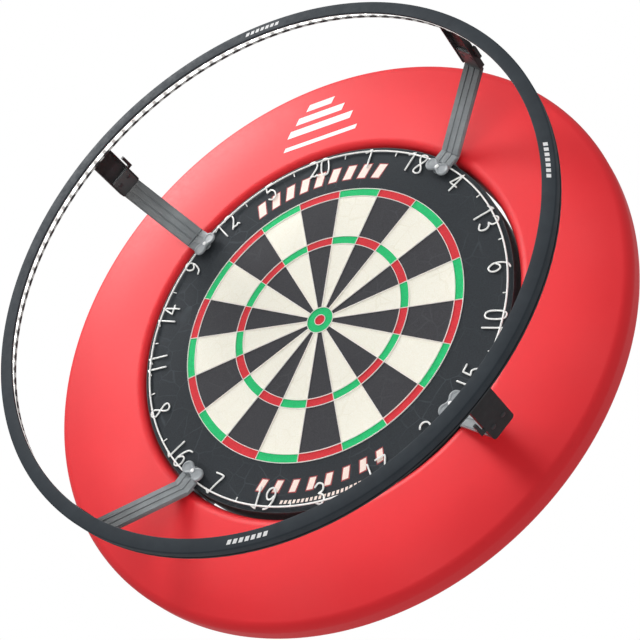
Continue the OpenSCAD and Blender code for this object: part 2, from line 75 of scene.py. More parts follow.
KNOB_LOW = FACE_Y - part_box("knob_upper_left")[1].y
KNOB_HIGH = FACE_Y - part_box("knob_upper_left")[0].y
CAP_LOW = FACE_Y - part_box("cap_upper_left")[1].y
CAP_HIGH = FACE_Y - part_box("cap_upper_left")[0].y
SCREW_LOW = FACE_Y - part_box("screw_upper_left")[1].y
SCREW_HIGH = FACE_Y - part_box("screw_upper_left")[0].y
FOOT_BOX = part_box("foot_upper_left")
CLAMP_R = math.hypot((FOOT_BOX[0].x + FOOT_BOX[1].x) / 2, (FOOT_BOX[0].z + FOOT_BOX[1].z) / 2)

# ---- Sizes that the boxes don't show ----

SECTORS = 20
NUMBERS = [20, 1, 18, 4, 13, 6, 10, 15, 2, 17, 3, 19, 7, 16, 8, 11, 14, 9, 12, 5]
FIRST_TURNED = 6
LAST_TURNED = 14
DIGIT_H = 24 * MM
DIGIT_W = 11 * MM
DIGIT_STEP = 15 * MM
DIGIT_WIRE_R = 1.0 * MM
DIGIT_OVER = 2.8 * MM
WELD = 0.85 * MM
BORE_R = 229 * MM
BORE_ROUND = 12 * MM
RIM_ROUND = (12 * MM, 9 * MM)
RIM_DROP = 4 * MM
CROWN_R = 275 * MM
BACK_ROUND = 9 * MM
LIGHT_HOLE_R = 308.4 * MM
SHELL_T = 2 * MM
GROOVE_W = 2.2 * MM
LIP_Y = FACE_Y - LIGHT_FRONT + SHELL_T + 0.6 * MM
LED_COUNT = 120
JACK_ANGLE = 100
COVER_SCREWS = 8
COVER_SCREW_SEAT_R = 318.2 * MM
KNOB_L = 32 * MM
KNOB_W = 15 * MM
THREAD_PITCH = 0.7 * MM
ELBOW_RIVET_Z = 79.5 * MM
ELBOW_RIVET_Y = 7 * MM
RIVET_IN_R = 313.4 * MM
RIVET_OUT_R = 319 * MM
JAW_RIVET_R = 230.8 * MM
ARMS = {"upper_left": 135, "upper_right": 45, "lower_left": 225, "lower_right": 315}


# ---- Frames ----

def face_frame(angle=0.0, x=0.0, y=0.0, z=0.0):
    """Face frame, turned by angle degrees about the board's axis, then moved along its own axes."""
    to_row = Matrix(((1, 0, 0, 0), (0, 0, -1, FACE_Y), (0, 1, 0, 0), (0, 0, 0, 1)))
    turn = Matrix.Rotation(math.radians(angle), 4, "Z")
    return to_row @ turn @ Matrix.Translation((x, y, z))


FACE = face_frame()


# ---- Shapes, as (points, faces) ----

def arc(cx, cy, rx, ry, start, stop, steps):
    """Points on an ellipse from start to stop degrees."""
    angles = [math.radians(start + (stop - start) * i / steps) for i in range(steps + 1)]
    return [(cx + rx * math.cos(a), cy + ry * math.sin(a)) for a in angles]


def rounded(corners, radii, steps=4):
    """A closed outline with each corner replaced by an arc of its radius."""
    out = []
    count = len(corners)
    for i, (corner, radius) in enumerate(zip(corners, radii)):
        here = Vector(corner)
        before = Vector(corners[i - 1]) - here
        after = Vector(corners[(i + 1) % count]) - here
        if radius <= 0:
            out.append(tuple(here))
            continue
        half = before.angle(after) / 2
        reach = min(radius / math.tan(half), before.length * 0.49, after.length * 0.49)
        a = here + before.normalized() * reach
        b = here + after.normalized() * reach
        for k in range(steps + 1):
            t = k / steps
            out.append(tuple(a * (1 - t) ** 2 + here * 2 * t * (1 - t) + b * t ** 2))
    return out


def lathe(profile, steps=240, closed=True):
    """A profile of (radius, height) turned about the Z axis. An open one ends on the axis or is capped."""
    points, faces = [], []
    count = len(profile)
    for i in range(steps):
        a = 2 * math.pi * i / steps
        points += [(r * math.cos(a), r * math.sin(a), z) for r, z in profile]
    spans = count if closed else count - 1
    for i in range(steps):
        for k in range(spans):
            a, b = i * count + k, i * count + (k + 1) % count
            c, d = ((i + 1) % steps) * count + (k + 1) % count, ((i + 1) % steps) * count + k
            faces.append((a, d, c, b))
    if not closed:
        faces.append([i * count for i in range(steps)])
        faces.append([i * count + count - 1 for i in reversed(range(steps))])
    return points, faces


def loft(loops):
    """Loops of the same length joined in order, with the first and the last one closed."""
    size = len(loops[0])
    points = [p for loop in loops for p in loop]
    faces = [[i for i in reversed(range(size))]]
    for level in range(len(loops) - 1):
        for i in range(size):
            a, b = level * size + i, level * size + (i + 1) % size
            faces.append((a, b, b + size, a + size))
    faces.append([(len(loops) - 1) * size + i for i in range(size)])
    return points, faces


def tube(path, radius, sides, closed=False):
    """A round wire along a path, with rounded ends where it is open."""
    pts = [Vector(p) for p in path]
    count = len(pts)
    radii = [radius] * count
    if not closed:
        first, last = (pts[0] - pts[1]).normalized(), (pts[-1] - pts[-2]).normalized()
        pts = [pts[0] + first * radius * 0.6] + pts + [pts[-1] + last * radius * 0.6]
        radii = [radius * 0.55] + radii + [radius * 0.55]
        count += 2
    points, faces, normal = [], [], None
    for i, p in enumerate(pts):
        ahead = pts[(i + 1) % count] if closed or i + 1 < count else p
        behind = pts[i - 1] if closed or i > 0 else p
        tangent = (ahead - behind).normalized()
        if normal is None:
            normal = tangent.orthogonal().normalized()
            if abs(tangent.z) < 0.9:
                normal = Vector((0, 0, 1)) - tangent * tangent.z
                normal.normalize()
        else:
            normal = (normal - tangent * normal.dot(tangent)).normalized()
        side = tangent.cross(normal)
        for k in range(sides):
            a = 2 * math.pi * k / sides
            points.append(tuple(p + (normal * math.cos(a) + side * math.sin(a)) * radii[i]))
    for i in range(count if closed else count - 1):
        for k in range(sides):
            j = (i + 1) % count
            faces.append((i * sides + k, i * sides + (k + 1) % sides,
                          j * sides + (k + 1) % sides, j * sides + k))
    if not closed:
        faces.append([k for k in reversed(range(sides))])
        faces.append([(count - 1) * sides + k for k in range(sides)])
    return points, faces


def smooth_path(points, closed=False):
    """A curve through the points. A point given twice in a row is a sharp corner."""
    pts, steps = [Vector(p) for p in points], 5
    count = len(pts)
    out = []
    for i in range(count if closed else count - 1):
        p1, p2 = pts[i], pts[(i + 1) % count]
        if (p2 - p1).length < 1e-9:
            continue
        p0 = pts[i - 1] if closed or i > 0 else p1
        p3 = pts[(i + 2) % count] if closed or i + 2 < count else p2
        for k in range(steps):
            t = k / steps
            out.append(0.5 * (2 * p1 + (p2 - p0) * t + (2 * p0 - 5 * p1 + 4 * p2 - p3) * t * t
                              + (3 * p1 - p0 - 3 * p2 + p3) * t ** 3))
    if not closed:
        out.append(pts[-1])
    return out


# ---- Pieces ----

class Piece:
    """Shapes gathered in the row frame that become one mesh object."""

    def __init__(self):
        self.points, self.faces, self.slots = [], [], []

    def add(self, shape, place=FACE, material=0):
        points, faces = shape
        base = len(self.points)
        self.points += [place @ Vector(p) for p in points]
        self.faces += [[base + i for i in face] for face in faces]
        self.slots += [material] * len(faces) if isinstance(material, int) else material
        return self

    def build(self, name, materials, body="board", slot=None, replaces=(), sharp=35):
        mesh = bpy.data.meshes.new(name)
        mesh.from_pydata([tuple(p) for p in self.points], [], self.faces)
        for material in materials if isinstance(materials, (list, tuple)) else [materials]:
            mesh.materials.append(material)
        mesh.polygons.foreach_set("material_index", self.slots)
        work = bmesh.new()
        work.from_mesh(mesh)
        bmesh.ops.recalc_face_normals(work, faces=work.faces)
        work.to_mesh(mesh)
        work.free()
        obj = bpy.data.objects.new(name, mesh)
        bpy.context.scene.collection.objects.link(obj)
        settle(obj, sharp)
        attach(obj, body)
        if replaces:
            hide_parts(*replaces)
        return obj


def settle(obj, sharp):
    """Smooth shading with edges sharper than an angle left crisp."""
    obj.data.shade_smooth()
    obj.data.set_sharp_from_angle(angle=math.radians(sharp))


def cut(obj, tool_shape, place):
    """Takes a shape out of a piece."""
    mesh = bpy.data.meshes.new("tool")
    points, faces = tool_shape
    mesh.from_pydata([tuple(place @ Vector(p)) for p in points], [], faces)
    tool = bpy.data.objects.new("tool", mesh)
    bpy.context.scene.collection.objects.link(tool)
    modifier = obj.modifiers.new("cut", "BOOLEAN")
    modifier.object = tool
    modifier.operation = "DIFFERENCE"
    modifier.solver = "EXACT"
    bpy.context.view_layer.update()
    cut_mesh = bpy.data.meshes.new_from_object(obj.evaluated_get(bpy.context.evaluated_depsgraph_get()))
    obj.modifiers.clear()
    cut_mesh.name = obj.name
    obj.data = cut_mesh
    bpy.data.objects.remove(tool)


def refine(node, material, bevel, segments=2):
    """Keeps a CAD node's shape, softens its edges by a bevel and gives it its material."""
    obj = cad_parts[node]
    obj.data.materials.clear()
    obj.data.materials.append(material)
    obj.data.polygons.foreach_set("material_index", [0] * len(obj.data.polygons))
    weld = obj.modifiers.new("weld", "WELD")
    weld.merge_threshold = 0.002 * MM
    if bevel:
        flat = obj.modifiers.new("flat", "DECIMATE")
        flat.decimate_type = "DISSOLVE"
        flat.angle_limit = math.radians(0.4)
        edge = obj.modifiers.new("edge", "BEVEL")
        edge.width = bevel
        edge.segments = segments
        edge.limit_method = "ANGLE"
        edge.angle_limit = math.radians(35)
    normals = obj.modifiers.new("normals", "WEIGHTED_NORMAL")
    normals.keep_sharp = False
    return obj


# ---- Materials ----

class Finish:
    """A procedural material: the shader's constants go on its own sockets, the rest are nodes."""

    def __init__(self, name, **sockets):
        self.material = bpy.data.materials.new(name)
        self.material.use_nodes = True
        self.tree = self.material.node_tree
        self.shader = self.tree.nodes["Principled BSDF"]
        for key, value in sockets.items():
            self.shader.inputs[key.replace("_", " ")].default_value = value
        self.coords = self.tree.nodes.new("ShaderNodeTexCoord").outputs["Object"]

    def node(self, kind, inputs=(), **settings):
        made = self.tree.nodes.new("ShaderNode" + kind)
        for key, value in settings.items():
            setattr(made, key, value)
        for key, value in dict(inputs).items():
            if isinstance(value, bpy.types.NodeSocket):
                self.tree.links.new(value, made.inputs[key])
            else:
                made.inputs[key].default_value = value
        return made

    def stretched(self, scale):
        return self.node("Mapping", {"Vector": self.coords, "Scale": scale}).outputs["Vector"]

    def noise(self, scale, detail=3.0, rough=0.55, vector=None):
        inputs = {"Vector": vector or self.coords, "Scale": scale, "Detail": detail, "Roughness": rough}
        return self.node("TexNoise", inputs).outputs["Fac"]

    def cells(self, scale, feature="F1", output="Distance", vector=None):
        inputs = {"Vector": vector or self.coords, "Scale": scale, "Randomness": 1.0}
        return self.node("TexVoronoi", inputs, feature=feature).outputs[output]

    def ramp(self, value, low, high, to_low=0.0, to_high=1.0):
        inputs = {"Value": value, "From Min": low, "From Max": high, "To Min": to_low, "To Max": to_high}
        return self.node("MapRange", inputs).outputs["Result"]

    def mix(self, factor, a, b):
        made = self.node("Mix", data_type="RGBA", blend_type="MIX")
        for socket, value in ((made.inputs[0], factor), (made.inputs[6], a), (made.inputs[7], b)):
            if isinstance(value, bpy.types.NodeSocket):
                self.tree.links.new(value, socket)
            else:
                socket.default_value = value
        return made.outputs[2]

    def math(self, operation, a, b):
        return self.node("Math", {0: a, 1: b}, operation=operation).outputs[0]

    def colour(self, socket):
        self.tree.links.new(socket, self.shader.inputs["Base Color"])
        return self

    def rough(self, socket):
        self.tree.links.new(socket, self.shader.inputs["Roughness"])
        return self

    def bump(self, height, strength, distance):
        inputs = {"Height": height, "Strength": strength, "Distance": distance}
        made = self.node("Bump", inputs)
        self.tree.links.new(made.outputs["Normal"], self.shader.inputs["Normal"])
        return self


def rgb(r, g, b):
    """A display colour, 0 to 255, as the linear one that the shader takes."""
    def linear(v):
        v /= 255
        return v / 12.92 if v <= 0.04045 else ((v + 0.055) / 1.055) ** 2.4
    return (linear(r), linear(g), linear(b), 1.0)


def moulded(name, dark, light, rough, **sockets):
    """Moulded plastic: slow colour variation, fine spark-eroded grain."""
    f = Finish(name, **sockets)
    f.colour(f.mix(f.ramp(f.noise(45, 4), 0.3, 0.7), dark, light))
    f.rough(f.ramp(f.noise(160, 3), 0.3, 0.7, *rough))
    return f.bump(f.noise(1500, 2), 0.35, 0.03 * MM).material


def painted(name, dark, light, rough, **sockets):
    """Painted or powder-coated metal: a little orange peel under a satin coat."""
    f = Finish(name, **sockets)
    f.colour(f.mix(f.ramp(f.noise(70, 3), 0.35, 0.65), dark, light))
    f.rough(f.ramp(f.noise(240, 2), 0.3, 0.7, *rough))
    return f.bump(f.noise(900, 1), 0.25, 0.02 * MM).material


def plated(name, dark, light, streak=(40, 40, 900)):
    """Zinc-plated steel: faint drawn streaks and cloudy spangle."""
    f = Finish(name, Metallic=1.0)
    f.colour(f.mix(f.ramp(f.cells(140, output="Distance"), 0.1, 0.9), dark, light))
    f.rough(f.ramp(f.noise(6, 4, vector=f.stretched(streak)), 0.3, 0.7, 0.22, 0.42))
    return f.bump(f.noise(6, 3, vector=f.stretched(streak)), 0.3, 0.015 * MM).material


def rubber(name, dark, light):
    f = Finish(name, Specular_IOR_Level=0.3)
    f.colour(f.mix(f.ramp(f.noise(120, 5), 0.3, 0.7), dark, light))
    f.rough(f.ramp(f.noise(300, 2), 0.3, 0.7, 0.6, 0.8))
    return f.bump(f.noise(2200, 2), 0.5, 0.05 * MM).material


def sisal(name, dark, light, seam, seam_share=0.35):
    """The cut ends of sisal fibre: specks, bundles a thumb wide, and faint seams between bundles."""
    f = Finish(name, Specular_IOR_Level=0.25)
    specks = f.cells(1300, output="Distance")
    fibre = f.noise(700, 4, 0.65)
    tone = f.mix(f.ramp(fibre, 0.3, 0.7), dark, light)
    warp = f.node("VectorMath", {0: f.coords, 1: f.node("Mapping", {
        "Vector": f.node("TexNoise", {"Vector": f.coords, "Scale": 60.0}).outputs["Color"],
        "Scale": (0.006, 0.006, 0.006)}).outputs["Vector"]}, operation="ADD").outputs[0]
    plane = f.node("Mapping", {"Vector": warp, "Scale": (1.0, 0.0, 1.0)}).outputs["Vector"]
    edge = f.cells(42, "DISTANCE_TO_EDGE", "Distance", vector=plane)
    line = f.ramp(edge, 0.0, 0.035, 1.0, 0.0)
    faded = f.math("MULTIPLY", line, f.ramp(f.noise(18, 3), 0.42, 0.62, 0.0, seam_share))
    f.colour(f.mix(faded, tone, seam))
    f.rough(f.ramp(fibre, 0.3, 0.7, 0.72, 0.92))
    height = f.math("ADD", f.math("MULTIPLY", specks, 0.5), f.math("MULTIPLY", fibre, 0.8))
    height = f.math("SUBTRACT", height, f.math("MULTIPLY", line, 0.6))
    return f.bump(height, 0.45, 0.12 * MM).material


def foam(name):
    """Moulded foam with a fine satin skin."""
    f = Finish(name, Sheen_Weight=0.04, Sheen_Roughness=0.5, Specular_IOR_Level=0.35)
    tone = f.mix(f.ramp(f.noise(9, 4), 0.3, 0.7), rgb(236, 30, 40), rgb(239, 33, 43))
    pores = f.ramp(f.cells(2600, output="Distance"), 0.0, 0.35, 1.0, 0.0)
    f.colour(f.mix(f.math("MULTIPLY", pores, 0.12), tone, rgb(200, 20, 30)))
    f.rough(f.ramp(f.noise(240, 3), 0.3, 0.7, 0.48, 0.54))
    height = f.math("ADD", f.noise(1500, 3, 0.6), f.math("MULTIPLY", pores, -0.5))
    return f.bump(height, 0.3, 0.06 * MM).material


def chipboard(name):
    """Pressed wood flakes."""
    f = Finish(name, Specular_IOR_Level=0.3)
    flake = f.node("TexVoronoi", {"Vector": f.stretched((1, 1, 2.2)), "Scale": 130.0}).outputs["Color"]
    tone = f.node("SeparateColor", {"Color": flake}).outputs[0]
    wood = f.mix(f.ramp(tone, 0.1, 0.9), rgb(150, 112, 72), rgb(205, 170, 122))
    f.colour(f.mix(f.ramp(f.noise(420, 4), 0.35, 0.7), wood, rgb(120, 86, 54)))
    f.rough(f.ramp(f.noise(90, 3), 0.3, 0.7, 0.7, 0.9))
    return f.bump(f.math("ADD", tone, f.noise(800, 3)), 0.4, 0.1 * MM).material


def ink(name, dark, light):
    """Screen ink that sinks a little into what it is printed on."""
    f = Finish(name, Specular_IOR_Level=0.35)
    f.colour(f.mix(f.ramp(f.noise(800, 4, 0.65), 0.35, 0.6), dark, light))
    f.rough(f.ramp(f.noise(500, 2), 0.3, 0.7, 0.5, 0.75))
    return f.bump(f.noise(1200, 3), 0.3, 0.05 * MM).material


def lens(name):
    """The phosphor window of a lit diode, its glow mottled a little."""
    f = Finish(name, Roughness=0.25, Emission_Strength=20.0)
    glow = f.mix(f.ramp(f.noise(700, 2), 0.3, 0.7), (1.0, 0.97, 0.9, 1), (1.0, 1.0, 0.97, 1))
    f.tree.links.new(glow, f.shader.inputs["Emission Color"])
    f.colour(f.mix(f.ramp(f.noise(500, 2), 0.3, 0.7), (0.9, 0.8, 0.4, 1), (0.95, 0.9, 0.6, 1)))
    return f.bump(f.noise(900, 2), 0.2, 0.03 * MM).material


def from_diode(f):
    """How far round the light a point is from its nearest diode: 0 beside it, 0.5 half-way."""
    place = f.node("SeparateXYZ", {"Vector": f.coords})
    angle = f.math("ARCTAN2", place.outputs["Z"], place.outputs["X"])
    turn = f.math("FRACT", f.math("MULTIPLY", angle, LED_COUNT / (2 * math.pi)), 0.0)
    return f.math("SUBTRACT", 0.5, f.math("ABSOLUTE", f.math("SUBTRACT", turn, 0.5), 0.0))


def radius_of(f):
    """A point's distance from the board's axis."""
    place = f.node("SeparateXYZ", {"Vector": f.coords})
    x, z = place.outputs["X"], place.outputs["Z"]
    return f.math("SQRT", f.math("ADD", f.math("MULTIPLY", x, x), f.math("MULTIPLY", z, z)), 0.0)


def lit_shell(name, dark, light, reach, **sockets):
    """Moulded plastic whose inner lip has the diodes' light painted on as a glow, as far round as reach,
    where 0.5 is all round.
    """
    f = Finish(name, Emission_Strength=1.2, **sockets)
    f.colour(f.mix(f.ramp(f.noise(45, 4), 0.3, 0.7), dark, light))
    f.rough(f.ramp(f.noise(160, 3), 0.3, 0.7, 0.52, 0.66))
    near = f.ramp(from_diode(f), reach - 0.06, reach + 0.06, 1.0, 0.0)
    depth = f.node("SeparateXYZ", {"Vector": f.coords}).outputs["Y"]
    behind = f.ramp(depth, LIP_Y - 0.2 * MM, LIP_Y, 0.0, 1.0)
    inside = f.ramp(radius_of(f), LIGHT_HOLE_R + 2 * MM, LIGHT_HOLE_R + 4 * MM, 1.0, 0.0)
    # Painted glow: the lip near each diode shines with the diode's light, as emission.
    painted_glow = f.math("MULTIPLY", near, f.math("MULTIPLY", behind, inside))
    f.tree.links.new(f.mix(painted_glow, (0, 0, 0, 1), (1.0, 0.98, 0.94, 1)), f.shader.inputs["Emission Color"])
    return f.bump(f.noise(1500, 2), 0.35, 0.03 * MM).material


def strip_board(name):
    """White solder mask, with each diode's light painted on it as a glow."""
    f = Finish(name, Emission_Strength=1.3)
    f.colour(f.mix(f.ramp(f.noise(300, 3), 0.3, 0.7), rgb(176, 178, 180), rgb(206, 208, 208)))
    f.rough(f.ramp(f.noise(400, 2), 0.3, 0.7, 0.35, 0.5))
    # Painted glow: brightest beside each diode, dimmer half-way between two.
    painted_glow = f.ramp(from_diode(f), 0.26, 0.42, 1.0, 0.15)
    f.tree.links.new(f.mix(painted_glow, (0, 0, 0, 1), (1.0, 0.98, 0.94, 1)), f.shader.inputs["Emission Color"])
    return f.bump(f.noise(2500, 2), 0.3, 0.01 * MM).material


def strap_plastic(name):
    """Ribbed grey plastic with painted shade, darker towards the elbow, where the bracket shades it."""
    f = Finish(name, Specular_IOR_Level=0.4)
    tone = f.mix(f.ramp(f.noise(45, 4), 0.3, 0.7), rgb(122, 127, 130), rgb(140, 145, 148))
    # Painted shade: the strap darkens with distance from the board's axis, towards the elbow.
    shade = f.ramp(radius_of(f), 262 * MM, 312 * MM, 0.0, 0.85)
    f.colour(f.mix(shade, tone, rgb(38, 39, 41)))
    f.rough(f.ramp(f.noise(160, 3), 0.3, 0.7, 0.38, 0.5))
    return f.bump(f.noise(1500, 2), 0.35, 0.03 * MM).material


FACE_BLACK = sisal("sisal_black", rgb(52, 52, 56), rgb(71, 71, 75), rgb(84, 86, 90))
FACE_BAND = sisal("sisal_number_band", rgb(38, 42, 46), rgb(54, 59, 64), rgb(76, 82, 88), 0.5)
FACE_CREAM = sisal("sisal_cream", rgb(246, 241, 224), rgb(255, 253, 242), rgb(226, 218, 192), 0.3)
FACE_GREEN = sisal("sisal_green", rgb(28, 184, 108), rgb(46, 208, 128), rgb(26, 150, 90), 0.25)
FACE_RED = sisal("sisal_red", rgb(206, 44, 54), rgb(228, 62, 70), rgb(170, 34, 42), 0.25)
SISAL_RAW = sisal("sisal_raw", rgb(168, 140, 98), rgb(206, 180, 134), rgb(120, 96, 64))
CHIPBOARD = chipboard("chipboard_back")
BAND_PAINT = painted("band_black_paint", rgb(34, 36, 39), rgb(46, 48, 52), (0.42, 0.55))
SPIDER_PAINT = painted("spider_white_paint", rgb(255, 246, 240), rgb(255, 252, 249), (0.35, 0.5))
WIRE_PAINT = painted("number_white_paint", rgb(250, 250, 248), rgb(255, 255, 253), (0.2, 0.35))
FOAM = foam("foam_red")
# Both light shells carry a painted glow of the diodes' light near the light's hole.
SHELL = lit_shell("light_shell_slate", rgb(52, 58, 64), rgb(59, 66, 72), 1.0, Specular_IOR_Level=0.15)
SHELL_BACK = lit_shell("light_cover_black", rgb(34, 37, 40), rgb(44, 47, 50), 0.2)
STRIP = strip_board("strip_solder_mask")
# The diode cases get a painted glow of their diode's light, as emission.
LED_CASE = moulded("led_case_white", rgb(226, 226, 222), rgb(244, 244, 240), (0.25, 0.4),
                   Emission_Color=(1.0, 0.98, 0.94, 1), Emission_Strength=1.5)
LED_LENS = lens("led_phosphor")
SOLDER = plated("solder_tin", rgb(176, 178, 180), rgb(214, 216, 218))
RESISTOR = moulded("resistor_ceramic", rgb(24, 24, 26), rgb(38, 38, 42), (0.3, 0.4))
JACK = moulded("jack_black", rgb(20, 20, 21), rgb(30, 30, 32), (0.25, 0.35))
SLEEVE = moulded("wire_sleeve_red", rgb(150, 22, 20), rgb(180, 34, 28), (0.35, 0.5))
ZINC = plated("zinc_plate", rgb(168, 170, 172), rgb(206, 208, 210))
STEEL = plated("screw_steel_finish", rgb(170, 171, 174), rgb(210, 211, 214), streak=(900, 900, 40))
RIVET = painted("rivet_black", rgb(34, 35, 38), rgb(46, 48, 52), (0.35, 0.5))
BRACKET = moulded("bracket_black", rgb(24, 24, 26), rgb(34, 34, 37), (0.4, 0.55), Specular_IOR_Level=0.35)
# Strap plastic with painted shade near the elbow.
STRAP = strap_plastic("strap_grey")
KNOB = moulded("knob_grey", rgb(138, 143, 147), rgb(158, 163, 167), (0.3, 0.45))
CAP = moulded("cap_white", rgb(240, 240, 240), rgb(252, 252, 252), (0.15, 0.25))
FOOT = rubber("foot_black", rgb(34, 34, 36), rgb(48, 48, 50))
RUBBER = rubber("pad_rubber", rgb(30, 30, 31), rgb(44, 44, 46))
INK_CREAM = ink("ink_cream", rgb(244, 222, 212), rgb(255, 238, 228))
INK_CORAL = ink("ink_coral", rgb(150, 52, 54), rgb(186, 76, 76))
INK_WHITE = ink("ink_white", rgb(244, 244, 242), rgb(255, 255, 255))


# ---- Board ----

def playing_face():
    """The sisal disc, with its beds, rings and number band as zones of one mesh."""
    per_sector = 12
    steps = SECTORS * per_sector
    radii = RING_RADII + [SISAL_R - 0.5 * MM, SISAL_R]
    levels = [0.0] * (len(radii) - 1) + [-0.5 * MM]
    points = [(0, 0, 0)]
    for r, z in zip(radii, levels):
        for i in range(steps):
            a = math.pi / 2 - 2 * math.pi * (i / steps - 0.5 / SECTORS)
            points.append((r * math.cos(a), r * math.sin(a), z))
    last = len(radii) - 1
    low_ring = len(points)
    for i in range(steps):
        x, y, _ = points[1 + last * steps + i]
        points.append((x, y, SISAL_BACK))
    faces, zones = [], []
    black, band, cream, green, red, raw = range(6)
    for i in range(steps):
        j = (i + 1) % steps
        even = (i // per_sector) % 2 == 0
        bed, ring = (black, red) if even else (cream, green)
        zone_by_ring = [green, bed, ring, bed, ring, band, band]
        faces.append((0, 1 + j, 1 + i))
        zones.append(red)
        for k, zone in enumerate(zone_by_ring):
            a, b = 1 + k * steps, 1 + (k + 1) * steps
            faces.append((a + i, a + j, b + j, b + i))
            zones.append(zone)
        faces.append((1 + last * steps + i, 1 + last * steps + j, low_ring + j, low_ring + i))
        zones.append(raw)
    faces.append([low_ring + i for i in range(steps)])
    zones.append(raw)
    Piece().add((points, faces), material=zones).build(
        "sisal_playing_face", [FACE_BLACK, FACE_BAND, FACE_CREAM, FACE_GREEN, FACE_RED, SISAL_RAW],
        slot="sisal", replaces=["sisal_disc"], sharp=30)


def spider():
    refine("radial_wires", SPIDER_PAINT, 0.12 * MM, 1)
    for name in ("double_outer_wire", "double_inner_wire", "treble_outer_wire", "treble_inner_wire",
                 "bull_wire", "bullseye_wire"):
        refine(name, SPIDER_PAINT, 0.12 * MM, 1)


# ---- Number ring ----

def squarish_loop(width, height, power):
    """A closed loop about the origin. A power of 1 is an ellipse, less is squarer."""
    out, count = [], 16
    for i in range(count):
        a = 2 * math.pi * i / count
        c, s = math.cos(a), math.sin(a)
        out.append((width / 2 * math.copysign(abs(c) ** power, c),
                    height / 2 * math.copysign(abs(s) ** power, s)))
    return out


# Each digit is one bent wire, in units of its own width and height. A doubled point is a sharp bend.
DIGITS = {
    1: [(-0.62, 0.32), (0.04, 0.5), (0.04, 0.5), (0.0, 0.0), (-0.02, -0.5)],
    2: [(-0.55, 0.38), (-0.25, 0.5), (0.2, 0.48), (0.44, 0.3), (0.3, 0.04), (-0.46, -0.42),
        (-0.46, -0.42), (-0.15, -0.34), (0.15, -0.4), (0.4, -0.34), (0.52, -0.44)],
    3: [(-0.48, 0.34), (-0.1, 0.5), (0.36, 0.4), (0.36, 0.14), (-0.08, 0.02), (-0.08, 0.02),
        (0.36, -0.08), (0.46, -0.3), (0.1, -0.5), (-0.46, -0.36)],
    4: [(0.56, -0.16), (-0.52, -0.16), (-0.52, -0.16), (0.16, 0.5), (0.16, 0.5), (0.16, -0.5)],
    5: [(0.46, 0.5), (-0.34, 0.48), (-0.34, 0.48), (-0.4, 0.06), (-0.4, 0.06), (0.1, 0.12),
        (0.44, -0.12), (0.32, -0.42), (-0.1, -0.5), (-0.48, -0.36)],
    6: [(0.42, 0.5), (-0.06, 0.4), (-0.4, 0.06), (-0.44, -0.28), (-0.1, -0.5), (0.32, -0.42),
        (0.46, -0.2), (0.26, 0.02), (-0.1, 0.02), (-0.38, -0.14)],
    7: [(-0.52, 0.48), (0.3, 0.5), (0.5, 0.43), (0.18, 0.02), (-0.12, -0.5), (-0.12, -0.5), (-0.6, -0.36)],
    8: [(0.42 * math.sin(2 * t), 0.5 * math.cos(t))
        for t in [2 * math.pi * i / 24 for i in range(24)]],
    9: [(-0.42, -0.5), (0.06, -0.4), (0.4, -0.06), (0.44, 0.28), (0.1, 0.5), (-0.32, 0.42),
        (-0.46, 0.2), (-0.26, -0.02), (0.1, -0.02), (0.38, 0.14)],
    0: squarish_loop(0.9, 1.0, 0.75),
}
CLOSED_DIGITS = (0, 8)
# Degrees by which a hand-bent number sits clockwise of its bed's middle
DRIFT = {18: -0.6, 4: -0.9, 7: 0.8, 16: 1.2, 8: 1.8, 11: 1.6, 14: 0.8, 9: 0.6}
# A one whose foot meets the hoop has its tick there
ONE_ON_FOOT = [(-0.58, -0.36), (0.02, -0.5), (0.02, -0.5), (0.0, 0.0), (0.0, 0.5)]


def numerals():
    """The numbers round the rim, each digit bent from one wire and welded to the hoop."""
    made = Piece()
    middle = HOOP_R + DIGIT_OVER - DIGIT_H / 2
    level = HOOP_Z - HOOP_WIRE_R - DIGIT_WIRE_R + WELD
    for i, number in enumerate(NUMBERS):
        turned = FIRST_TURNED <= i <= LAST_TURNED
        angle = i * 360 / SECTORS + DRIFT.get(number, 0.0)
        place = face_frame(-angle, 0, middle) @ Matrix.Rotation(math.pi * turned, 4, "Z")
        text = [int(c) for c in str(number)]
        for k, digit in enumerate(text):
            shift = (k - (len(text) - 1) / 2) * DIGIT_STEP
            closed = digit in CLOSED_DIGITS
            bends = ONE_ON_FOOT if turned and digit == 1 else DIGITS[digit]
            path = [(shift + x * DIGIT_W, y * DIGIT_H, level) for x, y in bends]
            made.add(tube(smooth_path(path, closed), DIGIT_WIRE_R, 10, closed), place)
    made.build("wire_numerals", WIRE_PAINT, slot="number_wire", replaces=["number_wires"], sharp=60)


def hoop():
    section = arc(HOOP_R, HOOP_Z, HOOP_WIRE_R, HOOP_WIRE_R, 0, 360 * 15 / 16, 15)
    Piece().add(lathe(section)).build(
        "wire_hoop", WIRE_PAINT, slot="number_wire", replaces=["number_hoop"], sharp=60)
    feet = Piece()
    for i in range(SECTORS):
        # A clamp stands in the middle of each quarter and leaves no room for a foot
        if i % 5 == 2:
            continue
        leg = [(HOOP_R, 0, HOOP_Z - 0.4 * MM), (HOOP_R, 0, 1.3 * MM), (HOOP_R - 0.5 * MM, 0, 0.85 * MM),
               (HOOP_R - 1.6 * MM, 0, 0.75 * MM), (HOOP_R - 5 * MM, 0, 0.7 * MM)]
        feet.add(tube(smooth_path(leg), 0.7 * MM, 8), face_frame((i + 0.5) * 360 / SECTORS))
    feet.build("wire_hoop_feet", WIRE_PAINT, slot="number_wire", replaces=["hoop_feet"], sharp=60)


# ---- Printed marks: plain slanted bars and dashes ----

